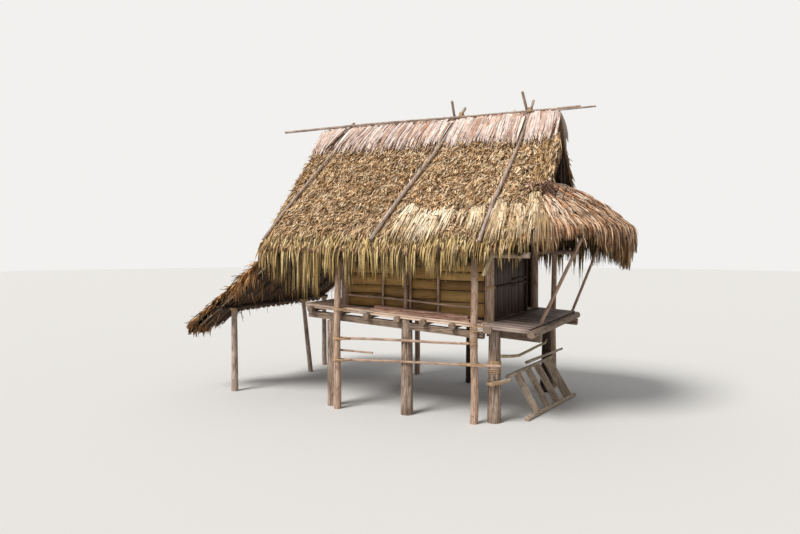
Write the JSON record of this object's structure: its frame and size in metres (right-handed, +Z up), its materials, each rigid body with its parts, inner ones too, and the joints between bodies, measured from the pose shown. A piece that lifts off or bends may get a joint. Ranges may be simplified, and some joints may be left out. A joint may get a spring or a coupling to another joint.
{
  "type": "thatched stilt house",
  "caption": "Small raised house of logs, bamboo and leaf thatch, with a rounded thatch skirt over an open deck and a lean-to roof at the other end.",
  "frame": {"origin": "on the ground, under the middle of the whole house from left to right and under the ridge", "axes": "+X along the ridge towards the deck end, +Y towards the back, +Z up"},
  "size_m": [8.29, 4.22, 5.7302],
  "materials": {
    "weathered_log": "matte",
    "dark_wood": "matte",
    "tan_pole": "matte",
    "grey_pole": "matte",
    "bare_board": "matte",
    "red_board": "matte",
    "bamboo_floor": "matte",
    "bamboo_wall": "matte",
    "thatch_field": "matte",
    "thatch_fringe": "matte",
    "thatch_ridge": "matte",
    "thatch_skirt": "matte"
  },
  "bodies": {
    "root": {"front_stumps": "weathered_log", "corner_posts": "weathered_log", "front_sill_beam": "weathered_log", "back_sill_beam": "weathered_log", "deck_beam": "weathered_log", "joists": "weathered_log", "deck_edge_pole": "weathered_log", "back_stumps": "dark_wood", "right_wall": "dark_wood", "right_wall_frame": "dark_wood", "gable_poles": "dark_wood", "front_rafters": "dark_wood", "back_rafters": "dark_wood", "skirt_ribs": "dark_wood", "skirt_rim_pole": "dark_wood", "lean_to_rafters": "dark_wood", "lean_to_purlins": "dark_wood", "front_eave_posts": "tan_pole", "back_eave_posts": "tan_pole", "front_wall_poles": "tan_pole", "front_wall_rail": "tan_pole", "under_floor_rails": "tan_pole", "skirt_struts": "tan_pole", "front_hold_down_poles": "grey_pole", "back_hold_down_poles": "grey_pole", "ridge_poles": "grey_pole", "wall_plates": "grey_pole", "tie_beams": "grey_pole", "king_posts": "grey_pole", "ridge_beam": "grey_pole", "eave_poles": "grey_pole", "lean_to_posts": "grey_pole", "loose_poles": "grey_pole", "lean_to_rake_pole": "grey_pole", "ladder_rails": "bare_board", "ladder_boards": "bare_board", "front_ledge_boards": "red_board", "floor": "bamboo_floor", "deck": "bamboo_floor", "front_wall": "bamboo_wall", "back_wall": "bamboo_wall", "left_wall": "bamboo_wall", "front_thatch": "thatch_field", "back_thatch": "thatch_field", "lean_to_thatch": "thatch_field", "front_fringe": "thatch_fringe", "back_fringe": "thatch_fringe", "ridge_cap": "thatch_ridge", "right_skirt": "thatch_skirt", "skirt_fringe": "thatch_skirt"}
  },
  "joints": []
}
